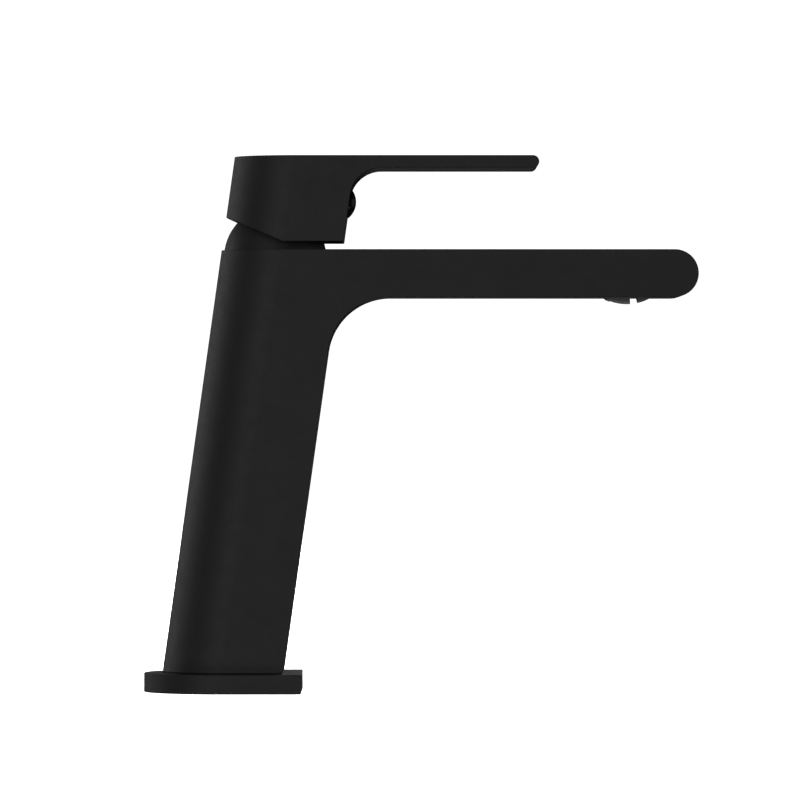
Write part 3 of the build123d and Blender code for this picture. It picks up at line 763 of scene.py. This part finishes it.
@dataclass
class BodyCasting(LeaningCasting):
    """Column, spout and foot spigot in one hollow casting."""

    foot: float = 6.3 * MM
    shadow_depth: float = 1.0 * MM
    shadow_gap: float = 0.3 * MM
    spout_underside: float = 122.0 * MM
    spout_fillet: float = 19.35 * MM
    wall: float = 3.0 * MM
    spigot_radius: float = 16.5 * MM
    spigot_bore: float = 14.0 * MM
    core_low: float = 16.0 * MM
    core_top: float = -33.0 * MM
    nut_bore: float = 14.05 * MM
    cartridge_bore: float = 12.6 * MM
    nut_seat: float = -9.0 * MM
    cartridge_seat: float = -21.0 * MM
    aerator_bore: float = 12.05 * MM
    aerator_seat: float = 129.2 * MM
    chamber_radius: float = 9.8 * MM
    chamber_top: float = 134.0 * MM
    waterway_floor: float = 130.4 * MM
    waterway_start: float = 34.0 * MM
    waterway_half_width: float = 14.0 * MM

    def build(self, aerator_x: float) -> bpy.types.Object:
        """Build the casting.

        Args:
            aerator_x: X of the aerator's axis.

        Returns:
            The piece.
        """
        low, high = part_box("body_casting")
        piece = self._outside(high)
        carve(piece, self._foot_pad(), Cut.ADD)
        carve(piece, cylinder(self.spigot_radius, low.z, self.foot + MM), Cut.ADD)
        carve(piece, flared_bore(self.spigot_bore, low.z, self.core_low + MM))
        carve(piece, self._cut_level(self.section(-FAR, self.core_top, self.wall), self.core_low))
        self._bore_head(piece)
        self._hollow_spout(piece, aerator_x)
        return dress(piece, MATT_BLACK, Body.FIXED, ("body_casting",))

    def _outside(self, high: Vector) -> bpy.types.Object:
        """Build the outside of the column and the spout.

        Args:
            high: Highest corner of the casting.

        Returns:
            The piece, still solid.
        """
        x_at = self.lean.x_at
        half = (high.z - self.spout_underside) / 2
        pen = self.side_pen(bmesh.new())
        pen.line_to(x_at(self.rear, self.foot), self.foot)
        pen.line_to(x_at(self.front, self.foot), self.foot)
        self.fillet_under(pen, self.spout_underside, self.spout_fillet, 32)
        pen.line_to(high.x - half, self.spout_underside)
        pen.arc(high.x - half, self.spout_underside + half, 180, 32)
        pen.line_to(x_at(self.rear, high.z), high.z)
        return self.widen(pen, "mixer_body_shell")

    @staticmethod
    def _cut_level(bm: bmesh.types.BMesh, height: float, keep_above: bool = True) -> bmesh.types.BMesh:
        """Cut a shape off level.

        Args:
            bm: The shape.
            height: Height of the cut.
            keep_above: Whether the part above the cut is kept.

        Returns:
            The same shape, closed again.
        """
        cut = bmesh.ops.bisect_plane(
            bm,
            geom=bm.verts[:] + bm.edges[:] + bm.faces[:],
            plane_co=Vector((0, 0, height)),
            plane_no=Vector((0, 0, -1 if keep_above else 1)),
            clear_outer=True,
        )
        rim = [g for g in cut["geom_cut"] if isinstance(g, bmesh.types.BMEdge)]
        bmesh.ops.contextual_create(bm, geom=rim)
        bmesh.ops.recalc_face_normals(bm, faces=bm.faces[:])
        return bm

    def _foot_pad(self) -> bmesh.types.BMesh:
        """Make the set-in pad under the column, which leaves a thin shadow line over the flange.

        Returns:
            The pad.
        """
        pad = self._cut_level(self.section(-FAR, 0.0, self.shadow_depth), self.foot - self.shadow_gap)
        return self._cut_level(pad, self.foot + MM, keep_above=False)

    def _bore_head(self, piece: bpy.types.Object) -> None:
        """Bore the head for the cartridge and its nut.

        Args:
            piece: The casting.
        """
        for radius, seat in ((self.nut_bore, self.nut_seat), (self.cartridge_bore, self.cartridge_seat)):
            bore = cylinder(radius, seat, 2 * radius)
            bmesh.ops.transform(bore, matrix=self.lean.matrix(), verts=bore.verts[:])
            carve(piece, bore)

    def _hollow_spout(self, piece: bpy.types.Object, aerator_x: float) -> None:
        """Bore the spout for the aerator and open its waterway.

        Args:
            piece: The casting.
            aerator_x: X of the aerator's axis.
        """
        carve(piece, flared_bore(self.aerator_bore, self.spout_underside, self.aerator_seat, aerator_x))
        low = Vector((self.waterway_start, -self.waterway_half_width, self.waterway_floor))
        high = Vector((aerator_x, self.waterway_half_width, self.chamber_top - TINY))
        carve(piece, box_between(low, high))
        carve(piece, cylinder(self.chamber_radius, self.aerator_seat - MM, self.chamber_top, aerator_x))


@dataclass
class FootFlange:
    """Foot plate, round at the back and square at the front."""

    hole_radius: float = 16.7 * MM
    gasket_inner: float = 17.4 * MM
    gasket_inset: float = 2.2 * MM
    gasket_depth: float = 1.6 * MM
    back_steps: int = 64

    def build(self) -> bpy.types.Object:
        """Build the flange.

        Returns:
            The piece.
        """
        low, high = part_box("base_flange")
        bm = self._plate(low, high, 0.0, high.z)
        round_edges(bm, sharp_edges(bm), EDGE_RADIUS, EDGE_STEPS)
        piece = as_object(bm, "foot_plate")
        carve(piece, cylinder(self.hole_radius, low.z - MM, high.z + MM))
        recess = as_object(self._plate(low, high, self.gasket_inset, self.gasket_depth, -MM), "recess")
        carve(recess, cylinder(self.gasket_inner, -2 * MM, high.z))
        tool = bmesh.new()
        tool.from_mesh(recess.data)
        bpy.data.objects.remove(recess)
        carve(piece, tool)
        return dress(piece, MATT_BLACK, Body.FIXED, ("base_flange",))

    def _plate(
        self, low: Vector, high: Vector, inset: float, top: float, bottom: float = 0.0
    ) -> bmesh.types.BMesh:
        """Make a plate with the foot's outline.

        Args:
            low: Lowest corner of the flange.
            high: Highest corner of the flange.
            inset: How far inside the flange's outline.
            top: Height of the plate's top.
            bottom: Height of its underside.

        Returns:
            The plate's mesh.
        """
        bm = bmesh.new()
        half = high.y - inset
        round_x = low.x + high.y
        pen = OutlinePen(bm, Vector((0, 0, bottom)), Vector((1, 0, 0)), Vector((0, 1, 0)))
        pen.line_to(high.x - inset, -half).line_to(high.x - inset, half).line_to(round_x, half)
        pen.arc(round_x, 0, 180, self.back_steps)
        pull(bm, [pen.fill()], Vector((0, 0, top - bottom)))
        bmesh.ops.recalc_face_normals(bm, faces=bm.faces[:])
        return bm


@dataclass
class DomeCover:
    """Ball-shaped cover between the body and the handle."""

    lean: LeanFrame
    radius: float = 15.87 * MM
    thickness: float = 1.27 * MM
    opening: float = 11.0 * MM
    arc_steps: int = 40

    def build(self) -> bpy.types.Object:
        """Build the cover.

        Returns:
            The piece.
        """
        low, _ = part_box("dome_cover")
        bm = bmesh.new()
        pen = OutlinePen(bm, Vector(), Vector((1, 0, 0)), Vector((0, 0, 1)))
        inner = self.radius - self.thickness
        top = math.sqrt(self.radius**2 - self.opening**2)
        reach = math.degrees(math.atan2(top, self.opening)) + 20
        inner_top = math.sqrt(inner**2 - self.opening**2)
        inner_reach = math.degrees(math.atan2(inner_top, self.opening)) + 20
        pen.line_to(inner * math.cos(math.radians(-20)), inner * math.sin(math.radians(-20)))
        pen.arc(0, 0, inner_reach, self.arc_steps)
        pen.line_to(self.opening, top)
        pen.arc(0, 0, -reach, self.arc_steps)
        spin_round(bm, Vector(), Vector((0, 0, 1)), 2 * ROUND_STEPS)
        bmesh.ops.transform(bm, matrix=self.lean.matrix(), verts=bm.verts[:])
        cut = bmesh.ops.bisect_plane(
            bm,
            geom=bm.verts[:] + bm.edges[:] + bm.faces[:],
            plane_co=low,
            plane_no=Vector((0, 0, -1)),
            clear_outer=True,
        )
        rim = [g for g in cut["geom_cut"] if isinstance(g, bmesh.types.BMEdge)]
        bmesh.ops.bridge_loops(bm, edges=rim)
        bmesh.ops.recalc_face_normals(bm, faces=bm.faces[:])
        round_edges(bm, sharp_edges(bm), 0.2 * MM, 2)
        piece = as_object(bm, "ball_cover")
        return dress(piece, MATT_BLACK, Body.FIXED, ("dome_cover",))


@dataclass
class LeverHandle(LeaningCasting):
    """Handle head with the flat lever, and the plug over its set screw."""

    undercut_x: float = 18.85 * MM
    undercut_rear: float = 146.8 * MM
    lever_thickness: float = 3.87 * MM
    lever_fillet: float = 9.7 * MM
    cavity_radius: float = 16.5 * MM
    socket: tuple[float, float, float] = (3.55 * MM, 3.85 * MM, 24.5 * MM)
    screw_level: float = 19.63 * MM
    screw_radius: float = 2.5 * MM
    plug_hole: tuple[float, float] = (3.3 * MM, 14.0 * MM)
    plug_radius: float = 4.4 * MM
    plug_rim: float = 0.4 * MM
    plug_rise: float = 2.13 * MM
    plug_shank: tuple[float, float] = (3.25 * MM, 14.5 * MM)

    def build(self) -> bpy.types.Object:
        """Build the handle and its plug.

        Returns:
            The handle.
        """
        piece = self._outside(*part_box("handle"))
        for tool in self._hollows():
            carve(piece, tool)
        dress(piece, MATT_BLACK, Body.LEVER, ("handle",))
        self._plug()
        return piece

    def _outside(self, low: Vector, high: Vector) -> bpy.types.Object:
        """Build the outside of the head and the lever.

        Args:
            low: Lowest corner of the handle.
            high: Highest corner of the handle.

        Returns:
            The piece, still solid.
        """
        x_at = self.lean.x_at
        half = self.lever_thickness / 2
        under = high.z - self.lever_thickness
        pen = self.side_pen(bmesh.new())
        pen.line_to(self.undercut_x, low.z)
        pen.line_to(x_at(self.front, low.z), low.z)
        self.fillet_under(pen, under, self.lever_fillet, 24)
        pen.line_to(high.x - half, under)
        pen.arc(high.x - half, under + half, 180, 20)
        pen.line_to(x_at(self.rear, high.z), high.z)
        pen.line_to(x_at(self.rear, self.undercut_rear), self.undercut_rear)
        return self.widen(pen, "lever_handle")

    def _forward(self, bm: bmesh.types.BMesh) -> bmesh.types.BMesh:
        """Lay a shape drawn along Z along the set screw's axis instead.

        Args:
            bm: The shape.

        Returns:
            The same shape.
        """
        turn = Matrix.Translation((0, 0, self.screw_level)) @ Matrix.Rotation(math.pi / 2, 4, "Y")
        bmesh.ops.transform(bm, matrix=self.lean.matrix() @ turn, verts=bm.verts[:])
        return bm

    def _hollows(self) -> list[bmesh.types.BMesh]:
        """Make the cutters for the ball cavity, the stem's socket and the set screw.

        Returns:
            The cutters.
        """
        cavity = bmesh.new()
        bmesh.ops.create_icosphere(cavity, subdivisions=5, radius=self.cavity_radius)
        bmesh.ops.transform(cavity, matrix=self.lean.matrix(), verts=cavity.verts[:])
        half_x, half_y, top = self.socket
        socket = box_between(Vector((-half_x, -half_y, 0)), Vector((half_x, half_y, top)))
        bmesh.ops.transform(socket, matrix=self.lean.matrix(), verts=socket.verts[:])
        hole_radius, hole_end = self.plug_hole
        far = 2 * self.front
        return [
            cavity,
            socket,
            self._forward(cylinder(self.screw_radius, 0, hole_end + MM)),
            self._forward(cylinder(hole_radius, hole_end, far)),
            self._forward(cylinder(self.plug_radius + 0.05 * MM, self.front, far)),
        ]

    def _plug(self) -> None:
        """Build the domed plug over the set screw."""
        cap = self.plug_rise - self.plug_rim
        radius = (self.plug_radius**2 + cap**2) / (2 * cap)
        rim_end = self.front + self.plug_rim
        centre = self.front + self.plug_rise - radius
        sweep = math.degrees(math.asin(self.plug_radius / radius))
        shank_radius, shank_end = self.plug_shank
        bm = bmesh.new()
        pen = OutlinePen(bm, Vector(), Vector((1, 0, 0)), Vector((0, 0, 1)))
        pen.line_to(0, shank_end).line_to(shank_radius, shank_end).line_to(shank_radius, self.front)
        pen.line_to(self.plug_radius - 0.1 * MM, self.front).line_to(self.plug_radius, self.front + 0.1 * MM)
        pen.line_to(self.plug_radius, rim_end)
        pen.arc(0, centre, sweep, 24)
        spin_round(bm, Vector(), Vector((0, 0, 1)), 72)
        piece = as_object(self._forward(bm), "indicator_cap")
        dress(piece, GLOSS_BLACK, Body.LEVER, ("indicator_plug",))


@dataclass
class Aerator:
    """Threaded sleeve in the spout, and the ball nozzle that tilts in it."""

    centre: Vector
    sleeve_radius: float = 12.0 * MM
    inner_radius: float = 11.0 * MM
    seat_radius: float = 15.35 * MM
    ball_radius: float = 15.0 * MM
    ring_rise: float = 0.27 * MM
    ring: tuple[float, float] = (7.4 * MM, 8.9 * MM)
    shell: float = 1.8 * MM
    tilt: float = math.radians(8.2)
    slot_width: float = 2.3 * MM
    slot_depth: float = 1.95 * MM
    rib: tuple[float, float, float] = (2.6 * MM, 5.4 * MM, 11.7 * MM)
    jet_radius: float = 0.55 * MM
    jet_rings: tuple[tuple[float, int], ...] = ((3.1 * MM, 8), (4.7 * MM, 14), (6.3 * MM, 20))

    def build(self) -> None:
        """Build the sleeve and the nozzle."""
        self._sleeve()
        self._nozzle()

    def _sleeve(self) -> None:
        """Build the sleeve with its ball seat and a few turns' worth of thread."""
        low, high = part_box("aerator_housing")
        seat_edge = self.centre.z - math.sqrt(self.seat_radius**2 - self.inner_radius**2)
        mouth_radius = math.sqrt(self.seat_radius**2 - (self.centre.z - low.z) ** 2)
        turn = math.degrees(math.asin(self.inner_radius / self.seat_radius))
        turn -= math.degrees(math.asin(mouth_radius / self.seat_radius))
        bm = bmesh.new()
        pen = OutlinePen(bm, Vector((self.centre.x, 0, 0)), Vector((1, 0, 0)), Vector((0, 0, 1)))
        pen.line_to(self.inner_radius, high.z).line_to(self.sleeve_radius - 0.2 * MM, high.z)
        pen.line_to(self.sleeve_radius, high.z - 0.2 * MM)
        crests = 4
        pitch = (high.z - low.z - 2.0 * MM) / crests
        for crest in range(crests):
            top = high.z - 0.4 * MM - crest * pitch
            pen.line_to(self.sleeve_radius, top)
            pen.line_to(self.sleeve_radius - 0.45 * MM, top - pitch / 2)
            pen.line_to(self.sleeve_radius, top - pitch)
        pen.line_to(self.sleeve_radius, low.z + 0.2 * MM).line_to(self.sleeve_radius - 0.2 * MM, low.z)
        pen.line_to(mouth_radius, low.z)
        pen.arc(0, self.centre.z, turn, 8)
        pen.line_to(self.inner_radius, seat_edge + TINY)
        ends = [v for v in bm.verts if len(v.link_edges) == 1]
        bm.edges.new(ends)
        spin_round(bm, Vector((self.centre.x, 0, 0)), Vector((0, 0, 1)))
        dress(as_object(bm, "aerator_sleeve"), MATT_BLACK, Body.FIXED, ("aerator_housing",))

    def _nozzle(self) -> None:
        """Build the ball nozzle, cut its coin slot and jets, then tilt it forward."""
        piece = as_object(self._nozzle_shell(), "ball_nozzle")
        carve(piece, self._rib_blank(), Cut.ADD)
        half = self.slot_width / 2
        floor = self.slot_depth - self.ball_radius
        slot = box_between(
            Vector((-half, -self.ball_radius, -2 * self.ball_radius)), Vector((half, self.ball_radius, floor))
        )
        carve(piece, slot)
        carve(piece, self._jets())
        move = Matrix.Translation(self.centre) @ Matrix.Rotation(-self.tilt, 4, "Y")
        piece.data.transform(move)
        dress(piece, GREY_ACETAL, Body.NOZZLE, ("swivel_nozzle",))

    def _nozzle_shell(self) -> bmesh.types.BMesh:
        """Turn the nozzle's domed shell with its raised ring.

        Returns:
            The shell, about its own ball centre.
        """
        inner = self.ball_radius - self.shell
        raised = self.ball_radius + self.ring_rise
        ring_in, edge = self.ring
        bm = bmesh.new()
        pen = OutlinePen(bm, Vector(), Vector((1, 0, 0)), Vector((0, 0, -1)))
        dome = math.degrees(math.asin(ring_in / self.ball_radius))
        pen.line_to(0, self.ball_radius)
        pen.arc(0, 0, -dome, 20)
        rise_start = ring_in + 0.25 * MM
        pen.line_to(rise_start, math.sqrt(raised**2 - rise_start**2))
        ring_turn = math.degrees(math.asin((edge - 0.2 * MM) / raised) - math.asin(rise_start / raised))
        pen.arc(0, 0, -ring_turn, 5)
        pen.line_to(edge, math.sqrt(raised**2 - edge**2) - 0.2 * MM)
        pen.line_to(edge, math.sqrt(inner**2 - edge**2))
        pen.arc(0, 0, math.degrees(math.asin(edge / inner)), 20)
        spin_round(bm, Vector(), Vector((0, 0, 1)))
        return bm

    def _rib_blank(self) -> bmesh.types.BMesh:
        """Make the bar inside the shell that backs the coin slot.

        Returns:
            The bar.
        """
        half, reach, level = self.rib
        drop = math.sqrt((self.ball_radius - self.shell / 2) ** 2 - reach**2 - half**2)
        return box_between(Vector((-half, -reach, -drop)), Vector((half, reach, -level)))

    def _jets(self) -> bmesh.types.BMesh:
        """Make the cutters of every jet.

        Returns:
            The cutters, joined in one mesh.
        """
        bm = bmesh.new()
        clear = self.rib[0] + self.jet_radius
        for radius, count in self.jet_rings:
            for index in range(count):
                angle = math.tau * (index + 0.5) / count
                x, y = radius * math.cos(angle), radius * math.sin(angle)
                if abs(x) > clear:
                    bmesh.ops.create_cone(
                        bm,
                        cap_ends=True,
                        segments=16,
                        radius1=self.jet_radius,
                        radius2=self.jet_radius,
                        depth=self.ball_radius,
                        matrix=Matrix.Translation((x, y, -self.ball_radius)),
                    )
        return bm


@dataclass(frozen=True)
class HiddenWorks:
    """Finishes of the pieces that keep their CAD shape, such as the cartridge and the seals."""

    finishes: tuple[Finish, ...] = (
        MATT_BLACK,
        GLOSS_BLACK,
        GREY_ACETAL,
        WHITE_ACETAL,
        TURNED_BRASS,
        STAINLESS,
        CERAMIC,
        RUBBER,
    )

    def dress_all(self, nodes: dict[str, bpy.types.Object], record: dict) -> None:
        """Give every CAD node the finish of its material slot.

        Args:
            nodes: The CAD nodes by name.
            record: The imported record.
        """
        by_slot = {finish.slot: finish for finish in self.finishes}
        for entry in record["subparts"]:
            finish = by_slot[entry["material_slot"]]
            materials = nodes[entry["node"]].data.materials
            materials.clear()
            materials.append(finish.material())
            log.info("%s: CAD shape, %s", entry["node"], finish.name)


# ---- Studio ----


@dataclass(frozen=True)
class Softbox:
    """One soft light, placed round the mixer by its angles."""

    name: str
    round_deg: float
    up_deg: float
    watts: float
    size: float = 0.9
    distance: float = 2.5
    aim: tuple[float, float, float] = (0.04, 0.0, 0.09)

    def hang(self) -> None:
        """Add the light to the scene. Its angle round the mixer runs from the front to the left."""
        data = bpy.data.lights.new(self.name, "AREA")
        data.size = self.size
        data.energy = self.watts
        light = bpy.data.objects.new(self.name, data)
        turn = Matrix.Rotation(-math.radians(self.round_deg), 3, "Z")
        lift = Matrix.Rotation(-math.radians(self.up_deg), 3, "X")
        away = turn @ lift @ Vector((0.0, -self.distance, 0.0))
        light.location = Vector(self.aim) + away
        light.rotation_euler = (-away).to_track_quat("-Z", "Y").to_euler()
        bpy.context.scene.collection.objects.link(light)


@dataclass(frozen=True)
class Studio:
    """Glowing white table and backdrop, a dim surround, soft lights and the camera."""

    camera_place: tuple[float, float, float] = (0.0549, -2.145, 0.09034)
    view_width: float = 0.248
    sensor: float = 36.0
    backdrop_radius: float = 40.0
    glow: float = 1.1
    surround: float = 0.01
    softboxes: tuple[Softbox, ...] = (
        Softbox("key", 19.0, 8.0, 88.0),
        Softbox("key above", 19.0, 24.0, 34.0),
        Softbox("key below", 19.0, -8.0, 25.0),
        Softbox("low front", 10.0, -35.0, 52.0),
        Softbox("left", 115.0, 10.0, 40.0),
        Softbox("back left", 140.0, 10.0, 7.0),
        Softbox("back right", 210.0, 30.0, 52.0),
        Softbox("right", 285.0, 5.0, 80.0),
        Softbox("back high", 225.0, 48.0, 75.0),
        Softbox("plug", 240.0, 0.0, 1.8),
        Softbox("top", 180.0, 60.0, 90.0),
        Softbox("table", 180.0, -25.0, 2.3),
    )

    def build(self) -> None:
        """Set the whole studio up."""
        self._camera()
        self._surround()
        self._stage()
        for softbox in self.softboxes:
            softbox.hang()
        bpy.context.scene.view_settings.view_transform = "Standard"

    def _camera(self) -> None:
        """Stand the camera level with the middle of the mixer, square to its side."""
        data = bpy.data.cameras.new("camera")
        data.sensor_width = self.sensor
        data.lens = self.sensor * -self.camera_place[1] / self.view_width
        data.clip_end = 3 * self.backdrop_radius
        camera = bpy.data.objects.new("camera", data)
        camera.location = self.camera_place
        camera.rotation_euler = (math.pi / 2, 0.0, 0.0)
        bpy.context.scene.collection.objects.link(camera)
        bpy.context.scene.camera = camera

    def _surround(self) -> None:
        """Fill the shadows evenly from a dim surround."""
        world = bpy.data.worlds.new("surround")
        world.use_nodes = True
        background = world.node_tree.nodes["Background"]
        background.inputs["Color"].default_value = (1.0, 1.0, 1.0, 1.0)
        background.inputs["Strength"].default_value = self.surround
        bpy.context.scene.world = world

    def _stage(self) -> None:
        """Lay the pale floor and stand the white backdrop round it."""
        bm = bmesh.new()
        bmesh.ops.create_circle(bm, cap_ends=True, segments=ROUND_STEPS, radius=self.backdrop_radius)
        floor = as_object(bm, "floor")
        bm = bmesh.new()
        bmesh.ops.create_icosphere(bm, subdivisions=4, radius=self.backdrop_radius)
        backdrop = as_object(bm, "backdrop")
        paint = bpy.data.materials.new("white_studio")
        paint.use_nodes = True
        shader = paint.node_tree.nodes["Principled BSDF"]
        shader.inputs["Base Color"].default_value = (0.9, 0.9, 0.9, 1.0)
        shader.inputs["Roughness"].default_value = 0.9
        shader.inputs["Specular IOR Level"].default_value = 0.0
        shader.inputs["Emission Color"].default_value = (1.0, 1.0, 1.0, 1.0)
        shader.inputs["Emission Strength"].default_value = self.glow
        for piece in (floor, backdrop):
            piece.data.materials.append(paint)
            piece.visible_diffuse = piece.visible_glossy = piece.visible_shadow = False
            piece.visible_transmission = piece.visible_volume_scatter = False


def joint_named(joints: list[dict], name: str) -> dict:
    """Find a joint of the frame by name."""
    return next(joint for joint in joints if joint["name"] == name)


def main() -> None:
    """Build the mixer's looks round the frame."""
    logging.basicConfig(level=logging.INFO, format="%(name)s: %(message)s")
    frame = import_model()
    swivel = joint_named(frame["joints"], "temperature_swivel")
    nozzle = joint_named(frame["joints"], "nozzle_tilt")
    lean = LeanFrame(Vector(swivel["pos_m"]), Vector(swivel["axis"]))
    half_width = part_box("handle")[1].y
    HiddenWorks().dress_all(frame["nodes"], frame["record"])
    FootFlange().build()
    BodyCasting(lean, half_width).build(nozzle["pos_m"][0])
    DomeCover(lean).build()
    LeverHandle(lean, half_width).build()
    Aerator(Vector(nozzle["pos_m"])).build()
    Studio().build()


if __name__ == "__main__":
    main()
